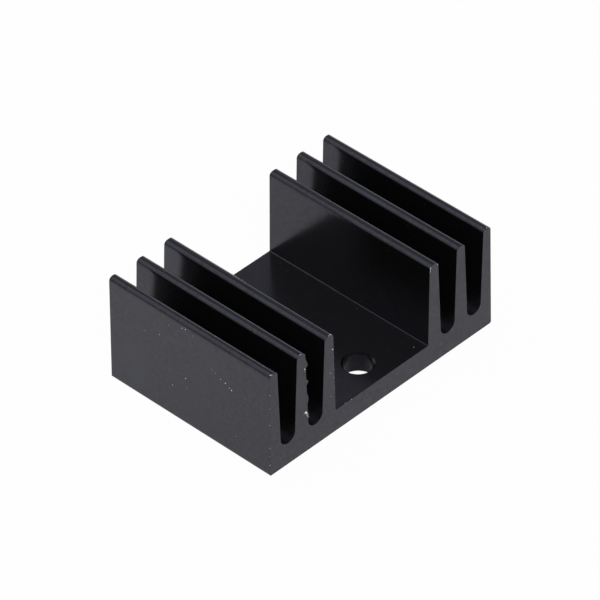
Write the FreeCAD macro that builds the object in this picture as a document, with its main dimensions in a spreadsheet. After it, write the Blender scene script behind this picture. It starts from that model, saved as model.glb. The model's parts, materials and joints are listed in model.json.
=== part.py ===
"""Transistor heat sink: one extruded aluminium comb, sawn to length and drilled once.

Millimetres. X runs across the fins, Y along the extrusion and Z up from the
base. The origin is the middle of the underside.
"""
import FreeCAD, Part
import os
from math import radians, tan

import Sketcher
from FreeCAD import Vector

NODE = "heat_sink"
SHEET = "sizes"

# Driving dimensions: alias, value and what it measures.
DRIVING_SIZES = (
    ("cut_length", 25.0, "Length between the two sawn ends"),
    ("overall_height", 14.4, "Underside to the tips of the fins"),
    ("base_thickness", 3.05, "Plate under the bay and under the slots"),
    ("bay_width", 15.2, "Floor of the transistor bay, wall to wall"),
    ("bay_draft", 1.2, "Lean of each bay wall, in degrees"),
    ("bay_corner", 0.25, "Radius along each side of the bay floor"),
    ("slot_root", 2.3, "Width of a slot at its round root"),
    ("slot_draft_in", 2.8, "Lean of the slot wall nearer the bay, in degrees"),
    ("slot_draft_out", 1.8, "Lean of the slot wall further from the bay, in degrees"),
    ("slots_per_side", 2, "Slots on each side of the bay"),
    ("bay_fin", 2.1, "Root thickness of the fin beside the bay"),
    ("mid_fin", 2.1, "Root thickness of a fin between two slots"),
    ("side_fin", 1.8, "Root thickness of the outermost fin"),
    ("side_draft", 1.1, "Lean of the outer side face, in degrees"),
    ("tip_radius", 0.52, "Radius of both shoulders of each fin tip"),
    ("foot_radius", 0.25, "Radius along each lower outer edge"),
    ("hole_bore", 3.5, "Screw hole, clearance for an M3 screw"),
    ("hole_wall", 2.0, "Metal between the screw hole and the near sawn end"),
    ("hole_chamfer", 0.35, "Chamfer on both rims of the screw hole"),
)

# Lengths that follow from the driving dimensions.
SLOT_PITCH = "(sizes.slot_root + sizes.mid_fin)"
FIRST_SLOT = "(sizes.bay_width / 2 + sizes.bay_fin + sizes.slot_root / 2)"
LAST_SLOT = f"({FIRST_SLOT} + (sizes.slots_per_side - 1) * {SLOT_PITCH})"
HALF_WIDTH = f"({LAST_SLOT} + sizes.slot_root / 2 + sizes.side_fin)"
ROOT_CENTRE = "(sizes.base_thickness + sizes.slot_root / 2)"
FIN_RISE = f"(sizes.overall_height - {ROOT_CENTRE})"
BAY_DEPTH = "(sizes.overall_height - sizes.base_thickness)"
HOLE_Y = "(sizes.hole_wall + sizes.hole_bore / 2 - sizes.cut_length / 2)"

# Thickness of each kind of fin at its tip, before the shoulders are rounded.
LEAN = "tan(sizes.{} * 1 deg)"
BAY_TIP = (
    f"(sizes.bay_fin - {FIN_RISE} * {LEAN.format('slot_draft_in')}"
    f" - {BAY_DEPTH} * {LEAN.format('bay_draft')})"
)
MID_TIP = (
    f"(sizes.mid_fin - {FIN_RISE} * ({LEAN.format('slot_draft_in')}"
    f" + {LEAN.format('slot_draft_out')}))"
)
SIDE_TIP = (
    f"(sizes.side_fin - {FIN_RISE} * {LEAN.format('slot_draft_out')}"
    f" - sizes.overall_height * {LEAN.format('side_draft')})"
)
# Two shoulders leave a narrow flat between them on the thinnest fin.
SHOULDER_SHARE = 0.45
SHOULDER = f"min(sizes.tip_radius; {SHOULDER_SHARE} * min({BAY_TIP}; {MID_TIP}; {SIDE_TIP}))"

# The axes of a sketch, and the points of an edge, as its constraints number them.
X_AXIS, Z_AXIS = range(-1, -3, -1)
START, END, CENTRE = range(1, 4)
ORIGIN = (X_AXIS, START)

# How far the cutting profiles stand above the fin tips.
OVERCUT = 1.0
TOLERANCE = 1e-4


def make_sheet(doc):
    """Write the driving dimensions into the spreadsheet, one row each."""
    sheet = doc.addObject("Spreadsheet::Sheet", SHEET)
    for row, (alias, value, meaning) in enumerate(DRIVING_SIZES, start=1):
        sheet.set(f"A{row}", meaning)
        sheet.set(f"B{row}", str(value))
        sheet.setAlias(f"B{row}", alias)
    doc.recompute()
    return sheet


def origin_plane(body, role):
    """Return one of the body's own origin planes by its role."""
    return next(feature for feature in body.Origin.OriginFeatures if feature.Role == role)


def add_sketch(body, name, role):
    """Add a sketch that lies on one of the body's origin planes."""
    sketch = body.newObject("Sketcher::SketchObject", name)
    sketch.AttachmentSupport = [(origin_plane(body, role), "")]
    sketch.MapMode = "FlatFace"
    return sketch


def constrain(sketch, kind, *where):
    """Add one geometric constraint to the sketch."""
    return sketch.addConstraint(Sketcher.Constraint(kind, *where))


def measure(item, expression):
    """Work out an expression of the driving sizes as a plain number."""
    value = item.evalExpression(expression)
    return getattr(value, "Value", value)


def dimension(sketch, name, expression, kind, *where):
    """Add one named dimension to the sketch and tie it to the driving sizes."""
    value = measure(sketch, expression)
    if kind == "Angle":
        value = radians(value)
    index = constrain(sketch, kind, *where, value)
    sketch.renameConstraint(index, name)
    sketch.setExpression(f"Constraints.{name}", expression)


def add_polygon(sketch, points):
    """Draw a closed polygon and return the index of its first line."""
    first = sketch.GeometryCount
    count = len(points)
    for index, point in enumerate(points):
        following = points[(index + 1) % count]
        sketch.addGeometry(Part.LineSegment(Vector(*point, 0), Vector(*following, 0)), False)
    for index in range(count):
        constrain(sketch, "Coincident", first + index, END, first + (index + 1) % count, START)
    return first


def add_trapezoid(sketch, half_foot, low, high, lean):
    """Draw a level trapezoid about the Z axis and return the index of its foot.

    Its lines follow as foot, right side, top and left side. The sides lean
    outwards by the given angle, in degrees.
    """
    half_top = half_foot + (high - low) * tan(radians(lean))
    corners = ((-half_foot, low), (half_foot, low), (half_top, high), (-half_top, high))
    foot = add_polygon(sketch, corners)
    top = foot + 2
    constrain(sketch, "Symmetric", foot, START, foot, END, Z_AXIS)
    constrain(sketch, "Symmetric", top, START, top, END, Z_AXIS)
    return foot


def cut_along(body, sketch, name):
    """Cut a profile through the whole length of the extrusion, both ways from its middle."""
    cut = body.newObject("PartDesign::Pocket", name)
    cut.Profile = sketch
    cut.SideType = "Symmetric"
    cut.Type = "ThroughAll"
    return cut


def pad_blank(body, sheet):
    """Extrude the solid outline of the comb: flat underside, sides that lean in."""
    sketch = add_sketch(body, "blank_outline", "XZ_Plane")
    half_width = measure(sketch, HALF_WIDTH)
    foot = add_trapezoid(sketch, half_width, 0.0, sheet.overall_height, -sheet.side_draft)
    right = foot + 1
    constrain(sketch, "PointOnObject", foot, START, X_AXIS)
    dimension(sketch, "half_width", HALF_WIDTH, "DistanceX", *ORIGIN, foot, END)
    dimension(sketch, "rise", "sizes.overall_height", "DistanceY", right, START, right, END)
    dimension(sketch, "lean", "(90 + sizes.side_draft) * 1 deg", "Angle", right)
    pad = body.newObject("PartDesign::Pad", "blank")
    pad.Profile = sketch
    pad.SideType = "Symmetric"
    pad.setExpression("Length", "sizes.cut_length")
    return pad


def cut_bay(body, sheet):
    """Cut the bay that holds the transistor, open at the top and at both ends."""
    sketch = add_sketch(body, "bay_outline", "XZ_Plane")
    top = sheet.overall_height + OVERCUT
    foot = add_trapezoid(sketch, sheet.bay_width / 2, sheet.base_thickness, top, sheet.bay_draft)
    right = foot + 1
    dimension(sketch, "floor", "sizes.base_thickness", "DistanceY", *ORIGIN, foot, START)
    dimension(sketch, "width", "sizes.bay_width", "DistanceX", foot, START, foot, END)
    dimension(sketch, "rise", f"{BAY_DEPTH} + {OVERCUT}", "DistanceY", right, START, right, END)
    dimension(sketch, "lean", "(90 - sizes.bay_draft) * 1 deg", "Angle", right)
    return cut_along(body, sketch, "bay")


def cut_slots(body, sheet):
    """Cut one slot with a round root and walls that open upwards, then repeat it.

    The walls are tangent to the root. The wall nearer the bay leans more than
    the other, so each fin is thicker at its root and its outer flank leans in.
    """
    sketch = add_sketch(body, "slot_outline", "XZ_Plane")
    middle = measure(sketch, FIRST_SLOT)
    radius = sheet.slot_root / 2
    centre = measure(sketch, ROOT_CENTRE)
    top = sheet.overall_height + OVERCUT
    near_lean = (top - centre) * tan(radians(sheet.slot_draft_in))
    far_lean = (top - centre) * tan(radians(sheet.slot_draft_out))
    near_foot = Vector(middle - radius, centre, 0)
    far_foot = Vector(middle + radius, centre, 0)
    near_top = Vector(middle - radius - near_lean, top, 0)
    far_top = Vector(middle + radius + far_lean, top, 0)
    lowest = Vector(middle, centre - radius, 0)
    root = sketch.addGeometry(Part.Arc(near_foot, lowest, far_foot), False)
    far_wall = sketch.addGeometry(Part.LineSegment(far_foot, far_top), False)
    mouth = sketch.addGeometry(Part.LineSegment(far_top, near_top), False)
    near_wall = sketch.addGeometry(Part.LineSegment(near_top, near_foot), False)
    constrain(sketch, "Tangent", root, END, far_wall, START)
    constrain(sketch, "Coincident", far_wall, END, mouth, START)
    constrain(sketch, "Coincident", mouth, END, near_wall, START)
    constrain(sketch, "Tangent", near_wall, END, root, START)
    constrain(sketch, "Horizontal", mouth)
    dimension(sketch, "root_radius", "sizes.slot_root / 2", "Radius", root)
    dimension(sketch, "middle", FIRST_SLOT, "DistanceX", *ORIGIN, root, CENTRE)
    dimension(sketch, "root_centre", ROOT_CENTRE, "DistanceY", *ORIGIN, root, CENTRE)
    dimension(sketch, "mouth_height", f"{FIN_RISE} + {OVERCUT}", "DistanceY", root, CENTRE, mouth, END)
    dimension(sketch, "far_lean", "(90 - sizes.slot_draft_out) * 1 deg", "Angle", far_wall)
    dimension(sketch, "near_lean", "(sizes.slot_draft_in - 90) * 1 deg", "Angle", near_wall)
    slot = cut_along(body, sketch, "slot")

    repeat = body.newObject("PartDesign::MultiTransform", "slots")
    outwards = body.newObject("PartDesign::LinearPattern", "slots_outwards")
    outwards.Direction = (sketch, ["H_Axis"])
    outwards.Mode = "Spacing"
    outwards.setExpression("Offset", SLOT_PITCH)
    outwards.setExpression("Occurrences", "sizes.slots_per_side")
    across = body.newObject("PartDesign::Mirrored", "slots_across")
    across.MirrorPlane = (sketch, ["V_Axis"])
    repeat.Originals = [slot]
    repeat.Transformations = [outwards, across]
    body.Tip = repeat
    return repeat


def long_edges(shape, height):
    """List name and place across of the edges along the extrusion at one height."""
    found = []
    for index, edge in enumerate(shape.Edges, start=1):
        if not isinstance(edge.Curve, Part.Line):
            continue
        direction = edge.Curve.Direction
        middle = edge.CenterOfMass
        if abs(direction.y) > 1 - TOLERANCE and abs(middle.z - height) < TOLERANCE:
            found.append((f"Edge{index}", middle.x))
    return found


def round_edges(doc, body, name, edges, expression):
    """Round a group of edges of the body's present shape."""
    rough = body.Tip
    fillet = body.newObject("PartDesign::Fillet", name)
    fillet.Base = (rough, edges)
    fillet.setExpression("Radius", expression)
    body.Tip = fillet
    doc.recompute()


def round_profile(doc, body, sheet):
    """Round the fin tips, the corners of the bay floor and the lower outer edges."""
    tips = [name for name, _ in long_edges(body.Shape, sheet.overall_height)]
    round_edges(doc, body, "tip_shoulders", tips, SHOULDER)
    reach = sheet.bay_width / 2 + TOLERANCE
    level = long_edges(body.Shape, sheet.base_thickness)
    corners = [name for name, across in level if abs(across) < reach]
    round_edges(doc, body, "bay_corners", corners, "sizes.bay_corner")
    feet = [name for name, _ in long_edges(body.Shape, 0.0)]
    round_edges(doc, body, "lower_edges", feet, "sizes.foot_radius")


def drill_hole(doc, body):
    """Drill the screw hole down through the bay floor and chamfer both of its rims."""
    upright = Vector(0, 0, 1)
    sketch = add_sketch(body, "hole_centre", "XY_Plane")
    sketch.setExpression(".AttachmentOffset.Base.z", "sizes.base_thickness")
    centre = Vector(0, measure(sketch, HOLE_Y), 0)
    radius = measure(sketch, "sizes.hole_bore / 2")
    circle = sketch.addGeometry(Part.Circle(centre, upright, radius), False)
    constrain(sketch, "PointOnObject", circle, CENTRE, Z_AXIS)
    dimension(sketch, "bore", "sizes.hole_bore", "Diameter", circle)
    dimension(sketch, "place", HOLE_Y, "DistanceY", *ORIGIN, circle, CENTRE)
    doc.recompute()
    hole = body.newObject("PartDesign::Hole", "screw_hole")
    hole.Profile = sketch
    hole.ThreadType = "None"
    hole.DepthType = "ThroughAll"
    hole.DrillPoint = "Flat"
    hole.setExpression("Diameter", "sizes.hole_bore")
    doc.recompute()
    rims = [
        f"Edge{index}"
        for index, edge in enumerate(hole.Shape.Edges, start=1)
        if isinstance(edge.Curve, Part.Circle) and abs(edge.Curve.Axis.z) > 1 - TOLERANCE
    ]
    chamfer = body.newObject("PartDesign::Chamfer", "hole_rims")
    chamfer.Base = (hole, rims)
    chamfer.setExpression("Size", "sizes.hole_chamfer")
    body.Tip = chamfer
    doc.recompute()


def expect_cut(before, after, feature):
    """Stop when a cut took nothing away."""
    if after > before - TOLERANCE:
        raise ValueError(f"{feature} removed no metal")


def build_heat_sink(doc, sheet):
    """Model the heat sink as one body, in the order in which it is made."""
    body = doc.addObject("PartDesign::Body", NODE)
    body.Label = NODE
    blank = pad_blank(body, sheet)
    doc.recompute()
    volume = blank.Shape.Volume
    for cut in (cut_bay, cut_slots):
        feature = cut(body, sheet)
        doc.recompute()
        expect_cut(volume, feature.Shape.Volume, feature.Name)
        volume = feature.Shape.Volume
    round_profile(doc, body, sheet)
    volume = body.Shape.Volume
    drill_hole(doc, body)
    expect_cut(volume, body.Shape.Volume, "screw_hole")
    body.Placement = FreeCAD.Placement()
    doc.recompute()
    return body


def check(doc, part):
    """Stop on any failed object, or on a shape that is not one valid solid."""
    for item in doc.Objects:
        if "Invalid" in item.State or "Error" in item.State:
            raise ValueError(f"{item.Name} failed: {item.State}")
    shape = part.Shape
    if shape.isNull() or not shape.isValid() or len(shape.Solids) != 1:
        raise ValueError(f"{part.Label} is not one valid solid")


def main():
    """Build the document, check it and write the part."""
    doc = FreeCAD.newDocument("transistor_heat_sink")
    sheet = make_sheet(doc)
    part = build_heat_sink(doc, sheet)
    check(doc, part)
    os.makedirs("parts", exist_ok=True)
    part.Shape.exportStep(f"parts/{part.Label}.step")
    box = part.Shape.BoundBox
    print(f"{part.Label}: {box.XLength:.2f} x {box.YLength:.2f} x {box.ZLength:.2f} mm,"
          f" {part.Shape.Volume:.0f} mm3, {len(part.Shape.Faces)} faces")


main()
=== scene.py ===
"""Looks of a transistor heat sink: a black anodised aluminium comb on a white floor.

Metres, in the part's own frame. X runs across the fins, Y along the extrusion and
Z up from the base. The comb is one extruded length, sawn at both ends, drilled once
and then anodised, so its section is worked out from its sizes and carried along its
length by geometry nodes.
"""
import json
import logging
import math
from dataclasses import dataclass
from enum import Enum
from typing import Any

import bpy
from bpy.types import ID, Material, Mesh, Node, NodeSocket, NodeTree, Object, World
from mathutils import Matrix, Vector, noise


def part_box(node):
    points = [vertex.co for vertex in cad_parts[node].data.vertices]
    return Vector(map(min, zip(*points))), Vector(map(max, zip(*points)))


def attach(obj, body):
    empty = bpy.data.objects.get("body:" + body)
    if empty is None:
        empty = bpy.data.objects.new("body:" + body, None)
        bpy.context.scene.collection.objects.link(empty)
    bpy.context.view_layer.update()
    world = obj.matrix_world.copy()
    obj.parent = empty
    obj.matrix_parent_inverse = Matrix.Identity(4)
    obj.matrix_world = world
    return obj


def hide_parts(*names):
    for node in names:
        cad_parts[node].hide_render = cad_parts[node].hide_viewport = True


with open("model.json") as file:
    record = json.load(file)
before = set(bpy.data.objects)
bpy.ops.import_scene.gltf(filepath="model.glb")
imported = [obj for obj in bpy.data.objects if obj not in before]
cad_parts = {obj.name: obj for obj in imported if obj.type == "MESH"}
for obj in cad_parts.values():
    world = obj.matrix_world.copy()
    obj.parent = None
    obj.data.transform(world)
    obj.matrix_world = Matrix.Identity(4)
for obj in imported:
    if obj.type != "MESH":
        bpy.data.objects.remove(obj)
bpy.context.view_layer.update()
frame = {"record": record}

LOG = logging.getLogger("heat_sink_looks")
MM = 0.001
QUARTER_TURN = math.pi / 2
NODE = "heat_sink"
BODY = "root"

# How finely a noise is broken up: little for lines and rims, more for grain, most for the film.
LITTLE_DETAIL, MORE_DETAIL, MOST_DETAIL = 2.0, 3.0, 6.0

# Radians that Blender's wave texture runs through in one unit at a scale of one.
WAVE_RADIANS = 20

# Blender's names for the kinds of node that recur.
MATH, VECTOR = "ShaderNodeMath", "ShaderNodeVectorMath"
RANGE, MIX, NOISE = "ShaderNodeMapRange", "ShaderNodeMix", "ShaderNodeTexNoise"
ATTRIBUTE, STORE = "GeometryNodeInputNamedAttribute", "GeometryNodeStoreNamedAttribute"
SPLIT, RANDOM = "ShaderNodeSeparateXYZ", "FunctionNodeRandomValue"

Pair = tuple[float, float]
Triple = tuple[float, float, float]
Colour = tuple[float, float, float, float]
Source = Node | NodeSocket

WHITE: Colour = (1.0, 1.0, 1.0, 1.0)
BLACK: Colour = (0.0, 0.0, 0.0, 1.0)


def linear_colour(code: str) -> Colour:
    """Turn an sRGB hex colour into linear light.

    Args:
        code: The colour, written like "#1d1d1f".

    Returns:
        Red, green, blue and an alpha of one.
    """
    channels = [int(code[place:place + 2], 16) / 255 for place in (1, 3, 5)]
    toe, slope, offset, gamma = 0.04045, 12.92, 0.055, 2.4
    light = [
        value / slope if value <= toe else ((value + offset) / (1 + offset)) ** gamma
        for value in channels
    ]
    return (*light, 1.0)


def add_node(
    tree: NodeTree,
    kind: str,
    inputs: dict[str | int, Any] | tuple[Any, ...] = (),
    **settings: Any,
) -> Node:
    """Add one node with its settings, its input values and its incoming links.

    Args:
        tree: The node tree that gets the node.
        kind: Blender's name for the node type.
        inputs: What the inputs get, by name or by number among those in use, or a tuple
            that fills them in order. A socket is linked, a node gives its first output in
            use, and anything else is a value.
        **settings: Properties of the node itself.

    Returns:
        The new node.
    """
    node = tree.nodes.new(kind)
    for name, value in settings.items():
        setattr(node, name, value)
    in_use = [socket for socket in node.inputs if socket.enabled]
    for key, value in (inputs if isinstance(inputs, dict) else dict(enumerate(inputs))).items():
        target = in_use[key] if isinstance(key, int) else node.inputs[key]
        if isinstance(value, Node):
            value = next(socket for socket in value.outputs if socket.enabled)
        if isinstance(value, NodeSocket):
            tree.links.new(value, target)
        else:
            target.default_value = value
    return node


def add_object(name: str, data: ID) -> Object:
    """Put a new object with the given data into the scene.

    Args:
        name: Name of the object.
        data: Its mesh, camera or lamp.

    Returns:
        The object, at the origin.
    """
    thing = bpy.data.objects.new(name, data)
    bpy.context.scene.collection.objects.link(thing)
    return thing


def empty_tree(owner: Material | World) -> NodeTree:
    """Give a material or a world an empty node tree.

    Args:
        owner: The material or the world.

    Returns:
        Its tree.
    """
    owner.use_nodes = True
    owner.node_tree.nodes.clear()
    return owner.node_tree


def store(mesh: Mesh, name: str, values: list[Any], domain: str = "POINT") -> None:
    """Store a number or a vector for each point or face of a mesh.

    Args:
        mesh: The mesh.
        name: Name of the attribute.
        values: One float or one triple for each point or face.
        domain: What the values belong to.
    """
    if isinstance(values[0], float):
        mesh.attributes.new(name, "FLOAT", domain).data.foreach_set("value", values)
    else:
        flat = [number for triple in values for number in triple]
        mesh.attributes.new(name, "FLOAT_VECTOR", domain).data.foreach_set("vector", flat)


class Recipe:
    """A geometry node tree with named inputs that turns a mesh into a plain piece."""

    def __init__(self, name: str) -> None:
        """Start an empty tree.

        Args:
            name: Name of the tree.
        """
        self.tree = bpy.data.node_groups.new(name, "GeometryNodeTree")
        for way in ("INPUT", "OUTPUT"):
            self.tree.interface.new_socket("Geometry", in_out=way, socket_type="NodeSocketGeometry")
        self.source = add_node(self.tree, "NodeGroupInput")
        self.values: dict[str, Any] = {}

    @property
    def start(self) -> NodeSocket:
        """The mesh that the tree starts from."""
        return self.source.outputs[0]

    def size(self, name: str, value: float | int) -> NodeSocket:
        """Add a named number to the tree's inputs.

        Args:
            name: Name of the input.
            value: What the modifier sets it to.

        Returns:
            The socket that gives the number inside the tree.
        """
        kind = "NodeSocketInt" if isinstance(value, int) else "NodeSocketFloat"
        socket = self.tree.interface.new_socket(name, in_out="INPUT", socket_type=kind)
        self.values[socket.identifier] = value
        return self.source.outputs[name]

    def close(self, geometry: Source, material: Material) -> None:
        """End the tree: real meshes only, in one material.

        Args:
            geometry: The finished geometry.
            material: The finish of the whole piece.
        """
        real = add_node(self.tree, "GeometryNodeRealizeInstances", (geometry,))
        finish = {"Geometry": real, "Material": material}
        dressed = add_node(self.tree, "GeometryNodeSetMaterial", finish)
        add_node(self.tree, "NodeGroupOutput", (dressed,))

    def cook(self, name: str, start: Mesh, spent: tuple[str, ...]) -> Object:
        """Run the tree on a mesh and keep the result as a plain mesh.

        Args:
            name: Name of the finished piece.
            start: The mesh that the tree starts from.
            spent: Names of the attributes that only the tree needed.

        Returns:
            The finished object, at the origin and without modifiers.
        """
        carrier = add_object(name + "_start", start)
        modifier = carrier.modifiers.new(self.tree.name, "NODES")
        modifier.node_group = self.tree
        for identifier, value in self.values.items():
            modifier[identifier] = value
        graph = bpy.context.evaluated_depsgraph_get()
        mesh = bpy.data.meshes.new_from_object(carrier.evaluated_get(graph), depsgraph=graph)
        bpy.data.objects.remove(carrier)
        mesh.name = name
        for attribute in spent:
            if attribute in mesh.attributes:
                mesh.attributes.remove(mesh.attributes[attribute])
        return add_object(name, mesh)


@dataclass(frozen=True)
class Corner:
    """One corner of an outline, with the radius that rounds it."""

    across: float
    up: float
    radius: float
    fewest_steps: int = 2

    def arc(self, before: "Corner", after: "Corner", step: float) -> list[Pair]:
        """Work out the points of the arc that rounds this corner.

        Args:
            before: The corner before it along the outline.
            after: The corner after it.
            step: The largest turn between two points, in radians.

        Returns:
            Points from the first tangent point to the last.
        """
        here = Vector((self.across, self.up))
        back = (Vector((before.across, before.up)) - here).normalized()
        ahead = (Vector((after.across, after.up)) - here).normalized()
        half_angle = back.angle(ahead) / 2
        centre = here + (back + ahead).normalized() * self.radius / math.sin(half_angle)
        first = here + back * self.radius / math.tan(half_angle) - centre
        turn = math.pi - 2 * half_angle
        if back.x * ahead.y - back.y * ahead.x > 0:
            turn = -turn
        count = max(self.fewest_steps, math.ceil(abs(turn) / step))
        points = []
        for index in range(count + 1):
            sine, cosine = math.sin(turn * index / count), math.cos(turn * index / count)
            across, up = first.x * cosine - first.y * sine, first.x * sine + first.y * cosine
            points.append((centre.x + across, centre.y + up))
        return points


@dataclass(frozen=True)
class CombSection:
    """The section of the extrusion, square to its length."""

    height: float
    base_thickness: float = 3.05 * MM
    bay_width: float = 15.2 * MM
    bay_draft: float = math.radians(1.2)
    bay_corner: float = 0.12 * MM
    slot_root: float = 2.3 * MM
    slot_draft_in: float = math.radians(2.8)
    slot_draft_out: float = math.radians(1.8)
    slots_per_side: int = 2
    bay_fin: float = 2.1 * MM
    mid_fin: float = 2.1 * MM
    side_fin: float = 1.8 * MM
    side_draft: float = math.radians(1.1)
    tip_radius: float = 0.52 * MM
    foot_radius: float = 0.25 * MM
    root_margin: float = 0.15 * MM
    arc_step: float = math.radians(7.0)
    straight_step: float = 0.4 * MM

    @property
    def root_radius(self) -> float:
        """Radius of the round root of a slot."""
        return self.slot_root / 2

    @property
    def root_height(self) -> float:
        """Height of the centre of each round root."""
        return self.base_thickness + self.root_radius

    @property
    def foot(self) -> float:
        """Half the width of the comb, where its sides meet the floor."""
        return self.slot_middles()[-1] + self.root_radius + self.side_fin

    def side_place(self, up: float) -> float:
        """Find how far from the middle plane the outer side face stands at one height."""
        return self.foot - up * math.tan(self.side_draft)

    def slot_middles(self) -> list[float]:
        """Places of the slots to the right of the bay, nearest first."""
        first = self.bay_width / 2 + self.bay_fin + self.root_radius
        return [first + index * (self.slot_root + self.mid_fin) for index in range(self.slots_per_side)]

    def slot_wall(self, middle: float, side: int, up: float) -> float:
        """Find where a wall of a slot stands at one height.

        Args:
            middle: Place of the slot's middle.
            side: 1 for the wall further from the bay and -1 for the nearer one.
            up: The height.

        Returns:
            The place across the fins.
        """
        draft = self.slot_draft_out if side > 0 else self.slot_draft_in
        rise = up - self.root_height
        return middle + side * (self.root_radius / math.cos(draft) + rise * math.tan(draft))

    def right_corners(self) -> list[Corner]:
        """List the corners of the right half, from the lower edge round to the bay floor.

        Returns:
            The corners, anticlockwise.
        """
        tip = self.height
        corners = [Corner(self.foot, 0.0, self.foot_radius)]
        corners.append(Corner(self.side_place(tip), tip, self.tip_radius))
        drafts = math.tan(self.slot_draft_out) + math.tan(self.slot_draft_in)
        for middle in reversed(self.slot_middles()):
            outer = self.slot_wall(middle, 1, self.root_height)
            inner = self.slot_wall(middle, -1, self.root_height)
            meeting = self.root_height - (outer - inner) / drafts
            tops = (tip, self.tip_radius)
            for side, (up, radius) in ((1, tops), (1, (meeting, self.root_radius)), (-1, tops)):
                corners.append(Corner(self.slot_wall(middle, side, up), up, radius))
        bay = self.bay_width / 2
        bay_top = bay + (tip - self.base_thickness) * math.tan(self.bay_draft)
        corners.append(Corner(bay_top, tip, self.tip_radius))
        corners.append(Corner(bay, self.base_thickness, self.bay_corner))
        return corners

    def outline(self) -> list[Pair]:
        """Work out the closed outline, with short steps on its straight runs.

        Returns:
            The outline's points, anticlockwise.
        """
        right = self.right_corners()
        left = [Corner(-corner.across, corner.up, corner.radius) for corner in reversed(right)]
        corners = right + left
        rounded: list[Pair] = []
        for index, corner in enumerate(corners):
            after = corners[(index + 1) % len(corners)]
            rounded += corner.arc(corners[index - 1], after, self.arc_step)
        points: list[Pair] = []
        for index, here in enumerate(rounded):
            there = rounded[(index + 1) % len(rounded)]
            count = max(1, math.ceil(math.dist(here, there) / self.straight_step))
            for part in range(count):
                share = part / count
                points.append(tuple(a + (b - a) * share for a, b in zip(here, there)))
        return points

    def wire(self, name: str) -> Mesh:
        """Make a wire mesh of the outline that knows its outward direction at each point.

        Args:
            name: Name of the mesh.

        Returns:
            The wire, in the plane Y = 0.
        """
        points = self.outline()
        count = len(points)
        places = [(across, 0.0, up) for across, up in points]
        mesh = bpy.data.meshes.new(name)
        mesh.from_pydata(places, [(index, (index + 1) % count) for index in range(count)], [])
        outward = []
        for index in range(count):
            before, after = points[index - 1], points[(index + 1) % count]
            outward.append(Vector((after[1] - before[1], 0.0, before[0] - after[0])).normalized())
        store(mesh, "section", places)
        store(mesh, "outward", outward)
        store(mesh, "slot_root", [self.root_share(across, up) for across, up in points])
        return mesh

    def root_share(self, across: float, up: float) -> float:
        """Tell how deep in a slot a point of the outline lies.

        Args:
            across: Its place across the fins.
            up: Its height.

        Returns:
            One at the bottom of a slot, falling to zero above its round root.
        """
        half = self.root_radius + self.root_margin
        if all(abs(abs(across) - middle) > half for middle in self.slot_middles()):
            return 0.0
        return max(0.0, 1.0 - max(0.0, up - self.root_height) / self.root_radius)


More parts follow.
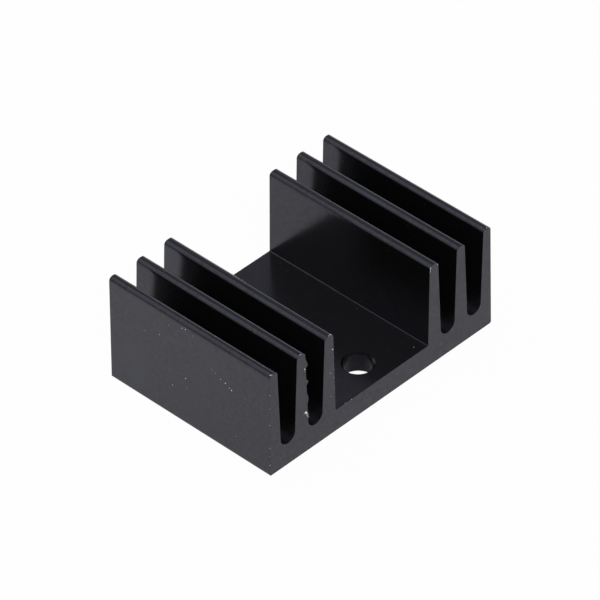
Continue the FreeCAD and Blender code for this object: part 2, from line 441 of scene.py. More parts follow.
@dataclass(frozen=True)
class BlackAnodisedAluminium:
    """Black dyed anodic film on a drawn and sawn aluminium extrusion.

    The film is a clear oxide over black dye: a dark, even body colour under a satin
    sheen that is nearly grey, a touch bluer and weaker where the film is thin. Drawing
    leaves fine lines along the length, and the slot roots dull. The saw leaves arcs
    across the two ends, and torn grain that takes the dye less well. Handling shows as
    a slight change of sheen in broad patches. Die lines and grain are finer than this in
    life, and are drawn as coarse as they need to be to show.
    """

    name: str = "black anodised aluminium"
    body: Colour = linear_colour("#0b0b0a")
    patch_body: Colour = linear_colour("#0b0b0c")
    sawn_body: Colour = linear_colour("#060607")
    sawn_grain_body: Colour = linear_colour("#202022")
    film_ior: float = 1.56
    sheen_tint: Colour = linear_colour("#f0ebff")
    thin_film_tint: Colour = linear_colour("#c6c2e0")
    handled_tint: Colour = linear_colour("#dde2ff")
    roughness: Pair = (0.17, 0.20)
    root_roughness: float = 0.66
    die_line: float = 0.12 * MM
    die_line_length: float = 18.0 * MM
    # One radian of the wave that draws the saw's arcs, which puts them 1 mm apart.
    saw_radian: float = 0.16 * MM
    saw_radius: float = 90.0 * MM
    saw_swing: float = 0.4
    saw_wobble: float = 1.5
    saw_wobble_scale: float = 4.0
    grain: float = 0.09 * MM
    sawn_grain: float = 0.28 * MM
    mottle: float = 0.55 * MM
    mottle_harshness: float = 0.72
    patch: float = 6.0 * MM
    patch_range: Pair = (0.3, 0.7)
    torn_range: Pair = (0.36, 0.64)
    thin_range: Pair = (0.38, 0.62)
    handled_range: Pair = (0.5, 0.68)
    relief_strength: float = 0.12
    relief_depth: float = 0.01 * MM

    def make(self) -> Material:
        """Build the material.

        Returns:
            The finished material.
        """
        material = bpy.data.materials.new(self.name)
        tree = empty_tree(material)
        place = add_node(tree, "ShaderNodeTexCoord").outputs["Object"]
        sawn = add_node(tree, "ShaderNodeAttribute", attribute_name="sawn_end").outputs["Fac"]
        root = add_node(tree, "ShaderNodeAttribute", attribute_name="slot_root").outputs["Fac"]
        patches = add_node(tree, NOISE, (place, 1 / self.patch, MORE_DETAIL))
        sheen = add_node(tree, RANGE, (patches, *self.patch_range, *self.roughness))
        uncut = add_node(tree, MATH, (1.0, sawn), operation="SUBTRACT")
        root = add_node(tree, MATH, (root, uncut), operation="MULTIPLY")
        sheen = add_node(tree, MIX, (root, sheen, self.root_roughness))
        drawn = add_node(tree, MIX, (patches, self.body, self.patch_body), data_type="RGBA")
        grain = add_node(tree, NOISE, (place, 1 / self.sawn_grain, MORE_DETAIL))
        torn = add_node(tree, RANGE, (grain, *self.torn_range))
        cut = add_node(tree, MIX, (torn, self.sawn_body, self.sawn_grain_body), data_type="RGBA")
        colour = add_node(tree, MIX, (sawn, drawn, cut), data_type="RGBA")
        shader = add_node(
            tree,
            "ShaderNodeBsdfPrincipled",
            {
                "Base Color": colour,
                "Roughness": sheen,
                "IOR": self.film_ior,
                "Specular Tint": self.tint(tree, place, patches),
                "Normal": self.relief(tree, place, sawn),
            },
        )
        add_node(tree, "ShaderNodeOutputMaterial", {"Surface": shader})
        return material

    def tint(self, tree: NodeTree, place: Source, patches: Source) -> Node:
        """Vary the tint of the sheen with the thickness of the film and with handling.

        Args:
            tree: The material's nodes.
            place: Object coordinates.
            patches: The broad patches of handling, about one half on average.

        Returns:
            The node that gives the tint.
        """
        film = add_node(tree, NOISE, (place, 1 / self.mottle, MOST_DETAIL, self.mottle_harshness))
        thin = add_node(tree, RANGE, (film, *self.thin_range))
        mottled = add_node(tree, MIX, (thin, self.sheen_tint, self.thin_film_tint), data_type="RGBA")
        handled = add_node(tree, RANGE, (patches, *self.handled_range))
        return add_node(tree, MIX, (handled, mottled, self.handled_tint), data_type="RGBA")

    def relief(self, tree: NodeTree, place: Source, sawn: Source) -> Node:
        """Lay die lines on the drawn faces, saw marks on the ends and grain on both.

        Args:
            tree: The material's nodes.
            place: Object coordinates.
            sawn: One on a sawn end and zero elsewhere.

        Returns:
            The node that gives the bent normal.
        """
        stretch = (1 / self.die_line, 1 / self.die_line_length, 1 / self.die_line)
        drawn = add_node(tree, "ShaderNodeMapping", {"Vector": place, "Scale": stretch})
        lines = add_node(tree, NOISE, (drawn, 1.0, LITTLE_DETAIL))
        swing = (self.saw_radius * self.saw_swing, 0.0, self.saw_radius)
        swung = add_node(tree, "ShaderNodeMapping", {"Vector": place, "Location": swing})
        arcs = add_node(
            tree,
            "ShaderNodeTexWave",
            {
                "Vector": swung,
                "Scale": 1 / (WAVE_RADIANS * self.saw_radian),
                "Distortion": self.saw_wobble,
                "Detail": LITTLE_DETAIL,
                "Detail Scale": self.saw_wobble_scale,
            },
            wave_type="RINGS",
            rings_direction="Y",
        ).outputs["Fac"]
        marks = add_node(tree, MIX, (sawn, lines, arcs))
        grain = add_node(tree, NOISE, (place, 1 / self.grain, MORE_DETAIL))
        height = add_node(tree, MATH, (marks, grain), operation="ADD")
        bump = {"Strength": self.relief_strength, "Distance": self.relief_depth, "Height": height}
        return add_node(tree, "ShaderNodeBump", bump)


# How the rows of the comb are placed: what each sum is called, its operation and its terms.
ROW_SUMS = (
    ("last", "SUBTRACT", "rows", 1.0),
    ("other", "SUBTRACT", "last", "row"),
    ("nearest", "MINIMUM", "row", "other"),
    ("step", "DIVIDE", "nearest", "edge rows"),
    ("step", "MINIMUM", "step", 1.0),
    ("turn", "MULTIPLY", "step", QUARTER_TURN),
    ("sine", "SINE", "turn"),
    ("cosine", "COSINE", "turn"),
    ("drawn in", "SUBTRACT", 1.0, "sine"),
    ("inset", "MULTIPLY", "drawn in", "radius"),
    ("set back", "SUBTRACT", 1.0, "cosine"),
    ("drop", "MULTIPLY", "set back", "radius"),
    ("ends", "MULTIPLY", "edge rows", 2.0),
    ("spans", "SUBTRACT", "last", "ends"),
    ("both edges", "MULTIPLY", "radius", 2.0),
    ("plain", "SUBTRACT", "length", "both edges"),
    ("pitch", "DIVIDE", "plain", "spans"),
    ("beyond", "SUBTRACT", "nearest", "edge rows"),
    ("beyond", "MAXIMUM", "beyond", 0.0),
    ("depth", "MULTIPLY_ADD", "beyond", "pitch", "drop"),
    ("half", "MULTIPLY", "length", 0.5),
    ("reach", "SUBTRACT", "half", "depth"),
    ("order", "SUBTRACT", "row", "other"),
    ("side", "SIGN", "order"),
    ("along", "MULTIPLY", "side", "reach"),
)


@dataclass(frozen=True)
class ExtrudedComb:
    """The heat sink itself: the section drawn out, sawn, eased at its ends and drilled."""

    section: CombSection
    length: float
    bore: float
    hole_along: float
    top_chamfer: float = 0.22 * MM
    under_chamfer: float = 0.46 * MM
    hole_sides: int = 96
    drill_length: int = 3
    drill_spare: float = 0.2 * MM
    edge_radius: float = 0.022 * MM
    edge_rows: int = 2
    rows: int = 23
    unevenness: float = 0.45
    ripple: float = 0.9 * MM
    ripple_range: Pair = (0.25, 0.75)
    sharp_angle: float = math.radians(10.0)
    sawn_facing: float = 0.95

    def build(self, finish: Material) -> Object:
        """Build the comb in one finish.

        Args:
            finish: The material of the whole piece.

        Returns:
            The finished piece.
        """
        recipe = Recipe("drawn and sawn comb")
        drilled = self.drill(recipe, self.draw_out(recipe))
        recipe.close(self.mark_ends(recipe, drilled), finish)
        wire = self.section.wire("comb outline")
        piece = recipe.cook("anodised_comb", wire, ("section", "outward", "row"))
        piece.data.shade_smooth()
        piece.data.set_sharp_from_angle(angle=self.sharp_angle)
        return piece

    def draw_out(self, recipe: Recipe) -> Node:
        """Carry the section along the length and ease the edges of both sawn ends.

        Args:
            recipe: The tree that gets the nodes.

        Returns:
            The node that gives the closed comb.
        """
        tree = recipe.tree
        length = recipe.size("Length", self.length)
        rows = recipe.size("Rows", self.rows)
        path = add_node(tree, "GeometryNodeCurvePrimitiveLine", {"End": (0.0, 1.0, 0.0)})
        path = add_node(tree, "GeometryNodeResampleCurve", {"Curve": path, "Count": rows})
        index = add_node(tree, "GeometryNodeInputIndex")
        path = add_node(tree, STORE, {"Geometry": path, "Name": "row", "Value": index})
        loop = add_node(tree, "GeometryNodeMeshToCurve", (recipe.start,))
        swept = add_node(
            tree, "GeometryNodeCurveToMesh", {"Curve": path, "Profile Curve": loop, "Fill Caps": True}
        )
        along, inset = self.row_places(recipe, length, rows)
        shift = add_node(tree, "ShaderNodeCombineXYZ", {"Y": along})
        section = add_node(tree, ATTRIBUTE, ("section",), data_type="FLOAT_VECTOR")
        outward = add_node(tree, ATTRIBUTE, ("outward",), data_type="FLOAT_VECTOR")
        # The easing varies from place to place, as hand deburring does.
        amount = recipe.size("Unevenness", self.unevenness)
        place = add_node(tree, VECTOR, (section, shift), operation="ADD")
        ripple = add_node(tree, NOISE, (place, 1 / self.ripple, LITTLE_DETAIL))
        low = add_node(tree, MATH, (1.0, amount), operation="SUBTRACT")
        high = add_node(tree, MATH, (1.0, amount), operation="ADD")
        uneven = add_node(tree, RANGE, (ripple, *self.ripple_range, low, high))
        inset = add_node(tree, MATH, (inset, uneven), operation="MULTIPLY")
        pulled = add_node(tree, VECTOR, (outward, inset), operation="SCALE")
        eased = add_node(tree, VECTOR, (section, pulled), operation="SUBTRACT")
        place = add_node(tree, VECTOR, (eased, shift), operation="ADD")
        return add_node(tree, "GeometryNodeSetPosition", {"Geometry": swept, "Position": place})

    def row_places(self, recipe: Recipe, length: Source, rows: Source) -> tuple[Node, Node]:
        """Place each row of the comb along its length, closer together on the eased edges.

        Args:
            recipe: The tree that gets the nodes.
            length: Length of the comb.
            rows: Number of rows.

        Returns:
            The place along the length and how far the outline draws in there.
        """
        made: dict[Any, Any] = {
            "row": add_node(recipe.tree, ATTRIBUTE, ("row",)),
            "rows": rows,
            "length": length,
            "edge rows": recipe.size("Edge Rows", self.edge_rows),
            "radius": recipe.size("Edge Radius", self.edge_radius),
        }
        for name, operation, *terms in ROW_SUMS:
            inputs = tuple(made.get(term, term) for term in terms)
            made[name] = add_node(recipe.tree, MATH, inputs, operation=operation)
        return made["along"], made["inset"]

    def drill(self, recipe: Recipe, blank: Source) -> Node:
        """Cut the screw hole through the bay floor, with a chamfer on both rims.

        Args:
            recipe: The tree that gets the nodes.
            blank: The comb before drilling.

        Returns:
            The node that gives the drilled comb.
        """
        tree = recipe.tree
        radius, spare = self.bore / 2, self.drill_spare
        thickness = self.section.base_thickness
        size = {"Vertices": self.hole_sides, "Radius": radius, "Depth": thickness * self.drill_length}
        cutters = [(add_node(tree, "GeometryNodeMeshCylinder", size), thickness / 2)]
        for top, chamfer in ((True, self.top_chamfer), (False, self.under_chamfer)):
            wide, narrow = radius + chamfer + spare, radius - spare
            size = {
                "Vertices": self.hole_sides,
                "Radius Top": wide if top else narrow,
                "Radius Bottom": narrow if top else wide,
                "Depth": chamfer + 2 * spare,
            }
            low = thickness - chamfer - spare if top else -spare
            cutters.append((add_node(tree, "GeometryNodeMeshCone", size), low))
        cut = add_node(
            tree, "GeometryNodeMeshBoolean", {"Mesh 1": blank}, operation="DIFFERENCE", solver="EXACT"
        )
        for cutter, height in cutters:
            place = (0.0, self.hole_along, height)
            moved = add_node(tree, "GeometryNodeTransform", {"Geometry": cutter, "Translation": place})
            tree.links.new(moved.outputs[0], cut.inputs["Mesh 2"])
        return cut

    def mark_ends(self, recipe: Recipe, comb: Source) -> Node:
        """Mark the faces that the saw left, for the finish to read.

        Args:
            recipe: The tree that gets the nodes.
            comb: The drilled comb.

        Returns:
            The node that gives the marked comb.
        """
        tree = recipe.tree
        normal = add_node(tree, "GeometryNodeInputNormal")
        lengthwise = add_node(tree, SPLIT, (normal,)).outputs["Y"]
        facing = add_node(tree, MATH, (lengthwise,), operation="ABSOLUTE")
        sawn = add_node(tree, MATH, (facing, self.sawn_facing), operation="GREATER_THAN")
        return add_node(tree, STORE, {"Geometry": comb, "Name": "sawn_end", "Value": sawn}, domain="FACE")


class Face(Enum):
    """Faces of the comb on which a chip can sit."""

    NEAR_END = "near end"
    LEFT_SIDE = "left side"
    FIN_TIP = "fin tip"
    BAY_FLOOR = "bay floor"

    def seat(self, measures: Pair, section: CombSection, length: float) -> tuple[Triple, Triple]:
        """Find where a chip sits on the comb and which way its face looks.

        Args:
            measures: Across and up on the near end, along and up on the left side, and
                along and across elsewhere. Along counts from the near end.
            section: The section of the comb.
            length: The length of the comb.

        Returns:
            The chip's place and the outward direction there.
        """
        first, second = measures
        if self is Face.NEAR_END:
            return (first, -length / 2, second), (0.0, -1.0, 0.0)
        along = first - length / 2
        if self is Face.LEFT_SIDE:
            return (-section.side_place(second), along, second), (-1.0, 0.0, 0.0)
        level = section.height if self is Face.FIN_TIP else section.base_thickness
        return (second, along, level), (0.0, 0.0, 1.0)


@dataclass(frozen=True)
class EvenFinish:
    """A finish of one even colour, for marks that are a few hundredths of a millimetre wide."""

    name: str
    colour: Colour
    roughness: float
    metallic: float

    def make(self) -> Material:
        """Build the material.

        Returns:
            The finished material.
        """
        material = bpy.data.materials.new(self.name)
        tree = empty_tree(material)
        look = {"Base Color": self.colour, "Roughness": self.roughness, "Metallic": self.metallic}
        shader = add_node(tree, "ShaderNodeBsdfPrincipled", look)
        add_node(tree, "ShaderNodeOutputMaterial", {"Surface": shader})
        return material


# Fresh aluminium where the film is knocked off: pale, metallic and satin.
BARE_ALUMINIUM = EvenFinish("bare aluminium", linear_colour("#f4f5f6"), roughness=0.34, metallic=1.0)
# Pale grey household dust: matt and nearly neutral.
HOUSE_DUST = EvenFinish("house dust", linear_colour("#8f8e8c"), roughness=0.9, metallic=0.0)


@dataclass(frozen=True)
class Flakes:
    """How small flakes are shaped and strewn: their spread of form and their ragged rim."""

    narrowest: Triple = (0.55, 0.55, 0.22)
    widest: Triple = (1.25, 1.0, 0.40)
    raggedness: float = 0.012 * MM
    rag_size: float = 0.03 * MM
    detail: int = 2
    seed: int = 11

    def strew(self, recipe: Recipe, points: Source, facing: Source, breadth: Source) -> Node:
        """Set one flake on each point, turned at random on its face.

        Args:
            recipe: The tree that gets the nodes.
            points: The points that carry the flakes.
            facing: The outward direction at each point.
            breadth: Half the breadth of each flake.

        Returns:
            The node that gives the ragged flakes.
        """
        tree = recipe.tree
        seed = recipe.size("Seed", self.seed)
        spins, forms = (
            add_node(tree, RANDOM, {0: low, 1: high, "Seed": seed}, data_type="FLOAT_VECTOR")
            for low, high in (((0.0, 0.0, 0.0), (0.0, 0.0, math.tau)), (self.narrowest, self.widest))
        )
        ball = add_node(tree, "GeometryNodeMeshIcoSphere", {"Radius": 1.0, "Subdivisions": self.detail})
        flat = add_node(tree, "FunctionNodeAlignRotationToVector", {"Vector": facing}, axis="Z")
        spin = add_node(tree, "FunctionNodeEulerToRotation", (spins,))
        turn = add_node(tree, "FunctionNodeRotateRotation", (flat, spin), rotation_space="LOCAL")
        scale = add_node(tree, VECTOR, (forms, breadth), operation="SCALE")
        flakes = {"Points": points, "Instance": ball, "Rotation": turn, "Scale": scale}
        set_down = add_node(tree, "GeometryNodeInstanceOnPoints", flakes)
        real = add_node(tree, "GeometryNodeRealizeInstances", (set_down,))
        place = add_node(tree, "GeometryNodeInputPosition")
        ripple = add_node(tree, NOISE, (place, 1 / self.rag_size, LITTLE_DETAIL)).outputs["Color"]
        centred = add_node(tree, VECTOR, (ripple, (0.5, 0.5, 0.5)), operation="SUBTRACT")
        rag = add_node(tree, VECTOR, (centred, self.raggedness), operation="SCALE")
        return add_node(tree, "GeometryNodeSetPosition", {"Geometry": real, "Offset": rag})


@dataclass(frozen=True)
class WearChips:
    """Nicks and knocks that lay the bare metal open, mostly along the near end."""

    section: CombSection
    length: float
    chips: dict[Face, tuple[Triple, ...]]
    flakes: Flakes = Flakes()

    def build(self, finish: Material) -> Object:
        """Build all the chips as one piece.

        Args:
            finish: The material of the bare metal.

        Returns:
            The finished piece.
        """
        recipe = Recipe("bare metal chips")
        facing = add_node(recipe.tree, ATTRIBUTE, ("facing",), data_type="FLOAT_VECTOR")
        breadth = add_node(recipe.tree, ATTRIBUTE, ("breadth",))
        recipe.close(self.flakes.strew(recipe, recipe.start, facing, breadth), finish)
        return recipe.cook("bare_metal_chips", self.seats(), ("facing", "breadth"))

    def seats(self) -> Mesh:
        """Make a mesh of loose points, one where each chip sits.

        Returns:
            The points, which know their outward direction and the chip's breadth.
        """
        places, outward, breadths = [], [], []
        for face, chips in self.chips.items():
            for chip in chips:
                *measures, breadth = (size * MM for size in chip)
                place, direction = face.seat(measures, self.section, self.length)
                places.append(place)
                outward.append(direction)
                breadths.append(breadth)
        mesh = bpy.data.meshes.new("chip seats")
        mesh.from_pydata(places, [], [])
        store(mesh, "facing", outward)
        store(mesh, "breadth", breadths)
        return mesh


@dataclass(frozen=True)
class DustSpecks:
    """Fine dust that lies on every face, thinly and without order."""

    density: float = 0.20 / MM**2
    smallest: float = 0.007 * MM
    largest: float = 0.028 * MM
    flakes: Flakes = Flakes(raggedness=0.006 * MM, detail=1, seed=23)

    def build(self, comb: Object, finish: Material) -> Object:
        """Strew the dust over the finished comb.

        Args:
            comb: The comb that the dust lies on.
            finish: The material of the dust.

        Returns:
            The finished piece.
        """
        recipe = Recipe("dust on the comb")
        tree = recipe.tree
        density = recipe.size("Density", self.density)
        seed = recipe.size("Scatter Seed", self.flakes.seed)
        strewn = add_node(
            tree,
            "GeometryNodeDistributePointsOnFaces",
            {"Mesh": recipe.start, "Density": density, "Seed": seed},
        ).outputs
        breadths = {0: self.smallest, 1: self.largest, "Seed": seed}
        breadth = add_node(tree, RANDOM, breadths)
        specks = self.flakes.strew(recipe, strewn["Points"], strewn["Normal"], breadth)
        recipe.close(specks, finish)
        return recipe.cook("dust_specks", comb.data.copy(), ("sawn_end",))


@dataclass(frozen=True)
class Lobe:
    """One lobe of the burr: its height on the fin, its reach and its run up and down."""

    up: float
    reach: float
    above: float
    below: float

    def reach_at(self, up: float) -> float:
        """Work out the lobe's reach at one height, which falls smoothly to zero at both ends."""
        share = min(1.0, abs(up - self.up) / (self.above if up > self.up else self.below))
        return self.reach * (1 - share * share * (3 - 2 * share))


BURR_LOBES = (
    Lobe(12.35 * MM, 0.32 * MM, above=1.3 * MM, below=0.35 * MM),
    Lobe(9.95 * MM, 0.31 * MM, above=0.55 * MM, below=0.45 * MM),
    Lobe(7.5 * MM, 0.21 * MM, above=1.1 * MM, below=0.9 * MM),
    Lobe(4.85 * MM, 0.19 * MM, above=0.9 * MM, below=0.3 * MM),
)


@dataclass(frozen=True)
class SawBurr:
    """The thin flap that the saw pushed out over the slot, on the second fin's near end."""

    section: CombSection
    length: float
    lobes: tuple[Lobe, ...] = BURR_LOBES
    low: float = 4.4 * MM
    high: float = 13.7 * MM
    rows: int = 150
    overlap: float = 0.12 * MM
    thickness: float = 0.035 * MM
    proud: float = 0.004 * MM
    sunk: float = 0.02 * MM
    raggedness: float = 0.05 * MM
    rag_size: float = 0.16 * MM

    def build(self, finish: Material) -> Object:
        """Build the burr as a closed thin flap.

        Args:
            finish: The material of the comb.

        Returns:
            The finished piece.
        """
        front = -self.length / 2 - self.proud
        places: list[Triple] = []
        for row in range(self.rows + 1):
            up = self.low + (self.high - self.low) * row / self.rows
            flank = -self.section.slot_wall(self.section.slot_middles()[0], 1, up)
            rim = flank + self.reach_at(up)
            for along in (front, front + self.thickness):
                places.append((flank - self.overlap, along, up))
                places.append((rim, along, up))
        faces: list[tuple[int, ...]] = [(0, 2, 3, 1)]
        last = 4 * self.rows
        for start in range(0, last, 4):
            for face in ((0, 1, 5, 4), (2, 6, 7, 3), (1, 3, 7, 5), (0, 4, 6, 2)):
                faces.append(tuple(start + corner for corner in face))
        faces.append((last, last + 1, last + 3, last + 2))
        mesh = bpy.data.meshes.new("saw_burr")
        mesh.from_pydata(places, [], faces)
        store(mesh, "sawn_end", [1.0] * len(faces), "FACE")
        mesh.materials.append(finish)
        return add_object("saw_burr", mesh)

    def reach_at(self, up: float) -> float:
        """Work out the ragged rim's reach at one height, below zero where there is no burr."""
        rag = noise.noise((up / self.rag_size, 0.0, 0.0)) * self.raggedness
        return max(lobe.reach_at(up) for lobe in self.lobes) + rag - self.sunk


@dataclass(frozen=True)
class PhotoCamera:
    """The camera of the main view: a long lens from above the near left corner."""

    azimuth: float = math.radians(-45.543)
    elevation: float = math.radians(39.662)
    roll: float = math.radians(-0.955)
    distance: float = 616.5 * MM
    lens: float = 327.1
    sensor: float = 36.0
    aim: Triple = (0.0, 0.0, 7.5 * MM)
    nudge: Pair = (0.1725 * MM, 0.1386 * MM)
    nearest: float = 0.01
    furthest: float = 10.0

    def build(self) -> None:
        """Place the camera and make it the scene's own."""
        sine, cosine = math.sin(self.azimuth), math.cos(self.azimuth)
        level = math.cos(self.elevation)
        back = Vector((sine * level, -cosine * level, math.sin(self.elevation)))
        right = Vector((cosine, sine, 0.0))
        up = back.cross(right)
        rolled_right = right * math.cos(self.roll) + up * math.sin(self.roll)
        rolled_up = up * math.cos(self.roll) - right * math.sin(self.roll)
        aim = Vector(self.aim) - rolled_right * self.nudge[0] - rolled_up * self.nudge[1]
        data = bpy.data.cameras.new("main camera")
        data.lens, data.sensor_width = self.lens, self.sensor
        data.clip_start, data.clip_end = self.nearest, self.furthest
        camera = add_object("main camera", data)
        turn = Matrix((rolled_right, rolled_up, back)).transposed().to_4x4()
        camera.matrix_world = Matrix.Translation(aim + back * self.distance) @ turn
        bpy.context.scene.camera = camera


@dataclass(frozen=True)
class WhiteFloor:
    """A wide white table top that stays white in the view and keeps a faint shadow.

    In reflections it glows with painted light, a little brighter towards its lit corner, and with painted
    shade that darkens it under the part.
    """

    radius: float = 1.6
    sides: int = 96
    level: float = -0.01 * MM
    colour: Colour = linear_colour("#c5c5c5")
    camera_glow: float = 0.978
    mirror_glow: float = 0.69
    lit_corner: Triple = (-1.0, 1.0, 0.0)
    lit_range: Pair = (15.0 * MM, 45.0 * MM)
    lit_change: Pair = (0.95, 1.18)
    footprint: Pair = (18.2 * MM, 12.5 * MM)
    shade_rim: Pair = (0.93, 1.0)
    shade: float = 0.25

    def build(self) -> None:
        angles = [math.tau * index / self.sides for index in range(self.sides)]
        ring = [
            (self.radius * math.cos(angle), self.radius * math.sin(angle), self.level)
            for angle in angles
        ]
        mesh = bpy.data.meshes.new("floor")
        mesh.from_pydata(ring, [], [list(range(self.sides))])
        mesh.materials.append(self.paint())
        floor = add_object("floor", mesh)

    def paint(self) -> Material:
        """Make white paint that also glows towards the camera and in reflections.

        Returns:
            The floor's material.
        """
        material = bpy.data.materials.new("matt white paint")
        tree = empty_tree(material)
        rays = add_node(tree, "ShaderNodeLightPath").outputs
        bounced = (rays["Is Glossy Ray"], rays["Is Transmission Ray"])
        mirrored = add_node(tree, MATH, bounced, operation="MAXIMUM")
        place = add_node(tree, "ShaderNodeTexCoord").outputs["Object"]
        # Painted light: the glow in reflections grows brighter towards the lit corner.
        towards = add_node(tree, VECTOR, (place, self.lit_corner), operation="DOT_PRODUCT")
        glows = [self.mirror_glow * change for change in self.lit_change]
        change = add_node(tree, RANGE, (towards, *self.lit_range, *glows))
        # Painted shade: the glow in reflections dims under the part, where little light reaches the
        # floor, and stays full beside it.
        shares = (1 / self.footprint[0], 1 / self.footprint[1], 0.0)
        inner = add_node(tree, VECTOR, (place, shares), operation="MULTIPLY")
        inner = add_node(tree, VECTOR, (inner,), operation="ABSOLUTE")
        sides = add_node(tree, SPLIT, (inner,)).outputs
        furthest = add_node(tree, MATH, (sides["X"], sides["Y"]), operation="MAXIMUM")
        limits = (furthest, *self.shade_rim, self.shade)
        painted_openness = add_node(tree, RANGE, limits, interpolation_type="SMOOTHSTEP")
        glow = add_node(tree, MATH, (painted_openness, change), operation="MULTIPLY")
        glow = add_node(tree, MATH, (mirrored, glow), operation="MULTIPLY")
        seen = (rays["Is Camera Ray"], self.camera_glow, glow)
        strength = add_node(tree, MATH, seen, operation="MULTIPLY_ADD")
        lamp = add_node(tree, "ShaderNodeEmission", (WHITE, strength))
        share = add_node(tree, MATH, (1.0, strength), operation="SUBTRACT")
        matt = add_node(tree, "ShaderNodeBsdfDiffuse", (self.colour,))
        black = add_node(tree, "ShaderNodeBsdfDiffuse", (BLACK,))
        lit = add_node(tree, "ShaderNodeMixShader", (share, black, matt))
        both = add_node(tree, "ShaderNodeAddShader", (lamp, lit))
        add_node(tree, "ShaderNodeOutputMaterial", {"Surface": both})
        return material


@dataclass(frozen=True)
class StudioSky:
    """The light of the room: bright above the left, dim above the right and dark in front.

    Low down it is the other way round, with a pale horizon on the right.
    """

    side_fade: Pair = (0.50, 0.20)
    height_fade: Pair = (0.20, 0.75)
    horizon_fade: Pair = (0.80, 0.15)
    front_fade: Pair = (0.30, -0.05)
    bright: Colour = (0.86, 0.86, 0.86, 1.0)
    low_left: Colour = (0.50, 0.50, 0.51, 1.0)
    dim: Colour = (0.23, 0.23, 0.275, 1.0)
    front: Colour = (0.10, 0.10, 0.11, 1.0)
    horizon: Colour = (1.08, 1.10, 1.15, 1.0)

    def build(self) -> None:
        """Build the world and make it the scene's own."""
        world = bpy.data.worlds.new("studio room")
        tree = empty_tree(world)
        direction = add_node(tree, "ShaderNodeTexCoord").outputs["Generated"]
        split = add_node(tree, SPLIT, (direction,)).outputs
        leftward, upward, low, forward = (
            add_node(tree, RANGE, (split[axis], *fade), interpolation_type="SMOOTHSTEP")
            for axis, fade in (
                ("X", self.side_fade),
                ("Z", self.height_fade),
                ("Z", self.horizon_fade),
                ("Y", self.front_fade),
            )
        )
        right_side = add_node(tree, MIX, (low, self.dim, self.horizon), data_type="RGBA")
        left_side = add_node(tree, MIX, (upward, self.low_left, self.bright), data_type="RGBA")
        colour = add_node(tree, MIX, (leftward, right_side, left_side), data_type="RGBA")
        colour = add_node(tree, MIX, (forward, colour, self.front), data_type="RGBA")
        room = add_node(tree, "ShaderNodeBackground", (colour,))
        backdrop = add_node(tree, "ShaderNodeBackground", (WHITE,))
        seen = add_node(tree, "ShaderNodeLightPath").outputs["Is Camera Ray"]
        mixed = add_node(tree, "ShaderNodeMixShader", (seen, room, backdrop))
        add_node(tree, "ShaderNodeOutputWorld", {"Surface": mixed})
        bpy.context.scene.world = world


@dataclass(frozen=True)
class SoftBox:
    """A large square lamp turned to the heat sink."""

    name: str
    direction: Triple
    distance: float
    side: float
    power: float
    mirrored: bool = True

    def build(self) -> None:
        """Hang the lamp and turn it to the heat sink."""
        data = bpy.data.lights.new(self.name, "AREA")
        data.shape = "SQUARE"
        data.size = self.side
        data.energy = self.power
        lamp = add_object(self.name, data)
        towards = Vector(self.direction).normalized()
        lamp.location = towards * self.distance
        lamp.rotation_mode = "QUATERNION"
        lamp.rotation_quaternion = (-towards).to_track_quat("-Z", "Y")
        lamp.visible_camera = False
        lamp.visible_glossy = self.mirrored


TOP_LAMP = SoftBox("top soft box", (-0.30, 0.52, 0.80), distance=1.3, side=1.6, power=3.0)
FRONT_LAMP = SoftBox(
    "front soft box", (-0.35, -0.62, 0.70), distance=1.2, side=0.9, power=11.0, mirrored=False
)


@dataclass(frozen=True)
class Studio:
    """Everything round the heat sink: camera, floor, room light and lamps."""

    camera: PhotoCamera = PhotoCamera()
    floor: WhiteFloor = WhiteFloor()
    sky: StudioSky = StudioSky()
    lamps: tuple[SoftBox, ...] = (TOP_LAMP, FRONT_LAMP)

    def build(self) -> None:
        """Build each part of the studio and set how the view is shown."""
        for part in (self.camera, self.floor, self.sky, *self.lamps):
            part.build()
            LOG.info("studio: %s built", type(part).__name__)
        bpy.context.scene.view_settings.view_transform = "Standard"


def seat(piece: Object, replaced: str | None = None) -> None:
    """Tie a finished piece to the frame and report it.

    Args:
        piece: The finished piece.
        replaced: Name of the CAD node that it stands for, if any.
    """
    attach(piece, BODY)
    if replaced:
        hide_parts(replaced)
    mesh = piece.data
    mesh.calc_loop_triangles()
    LOG.info("%s: %d vertices, %d triangles", piece.name, len(mesh.vertices), len(mesh.loop_triangles))


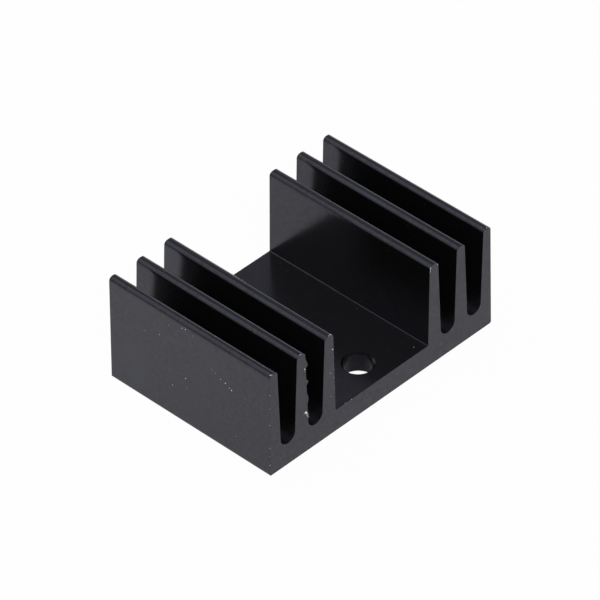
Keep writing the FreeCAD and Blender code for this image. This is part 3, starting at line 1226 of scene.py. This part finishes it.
# Each chip in millimetres: the two measures that place it on its face, and its breadth.
CHIPS: dict[Face, tuple[Triple, ...]] = {
    Face.NEAR_END: (
        (-12.38, 5.72, 0.17), (-12.22, 5.50, 0.13), (-12.12, 5.15, 0.10), (-12.04, 4.85, 0.07),
        (-12.62, 5.62, 0.05), (-12.42, 12.03, 0.12), (-12.40, 11.75, 0.07), (-12.04, 10.02, 0.03),
        (-12.58, 14.22, 0.035), (-16.86, 14.16, 0.028), (7.95, 14.20, 0.085), (7.93, 13.98, 0.075),
        (7.91, 13.78, 0.065), (7.89, 13.58, 0.05), (9.09, 14.03, 0.05), (13.40, 14.15, 0.028),
        (16.90, 14.12, 0.05), (-7.97, 12.13, 0.075), (-7.84, 10.90, 0.035), (-7.86, 9.78, 0.04),
        (-8.35, 8.90, 0.05), (-7.80, 9.05, 0.04), (-7.76, 7.90, 0.035), (-7.76, 6.35, 0.04),
        (-8.24, 5.44, 0.03), (-6.00, 3.06, 0.055), (-5.03, 3.00, 0.05), (-17.98, 11.73, 0.055),
        (-18.02, 9.73, 0.035), (-18.06, 7.42, 0.062), (-18.10, 4.09, 0.05), (-18.12, 2.92, 0.045),
        (-18.15, 1.60, 0.06),
    ),
    Face.LEFT_SIDE: (
        (12.98, 13.72, 0.07), (13.50, 13.60, 0.075), (11.86, 13.40, 0.035), (15.63, 12.78, 0.03),
        (5.88, 9.02, 0.085), (6.20, 9.20, 0.05), (6.80, 9.50, 0.06), (7.00, 9.45, 0.04),
        (7.58, 9.63, 0.045), (8.35, 10.04, 0.04), (8.70, 10.15, 0.03), (8.96, 10.26, 0.04),
        (13.08, 6.60, 0.07), (15.17, 4.45, 0.055), (15.60, 6.46, 0.035), (12.95, 5.23, 0.035),
        (17.09, 10.66, 0.05), (19.47, 9.89, 0.045), (5.17, 2.78, 0.04),
    ),
    Face.FIN_TIP: (
        (0.06, -17.70, 0.10), (0.05, -17.50, 0.05), (0.05, -8.21, 0.08), (0.04, -8.38, 0.07),
        (0.04, -8.55, 0.05), (0.10, -12.93, 0.085), (0.06, -13.20, 0.05), (1.67, -17.15, 0.024),
        (1.47, -12.79, 0.022), (9.10, -17.10, 0.035), (0.91, 13.22, 0.022), (3.89, 13.13, 0.018),
        (0.08, 17.35, 0.075), (0.05, 17.58, 0.05),
    ),
    Face.BAY_FLOOR: (
        (1.02, 6.30, 0.05), (5.85, 3.82, 0.03), (7.91, 6.47, 0.035), (10.39, 6.97, 0.03),
    ),
}


def main() -> None:
    """Build the studio and the heat sink, and tie every piece to the frame."""
    logging.basicConfig(level=logging.INFO, format="%(message)s")
    Studio().build()
    low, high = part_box(NODE)
    section = CombSection(height=high.z - low.z)
    hole = next(mount for mount in frame["record"]["mounts"] if mount["name"] == "screw_hole")
    bore = 2 * hole["dims"]["r_mm"] * MM
    comb = ExtrudedComb(section, high.y - low.y, bore, hole_along=hole["pos_m"][1])
    black = BlackAnodisedAluminium().make()
    body = comb.build(black)
    seat(body, NODE)
    seat(SawBurr(section, comb.length).build(black))
    seat(WearChips(section, comb.length, CHIPS).build(BARE_ALUMINIUM.make()))
    seat(DustSpecks().build(body, HOUSE_DUST.make()))


if __name__ == "__main__":
    main()
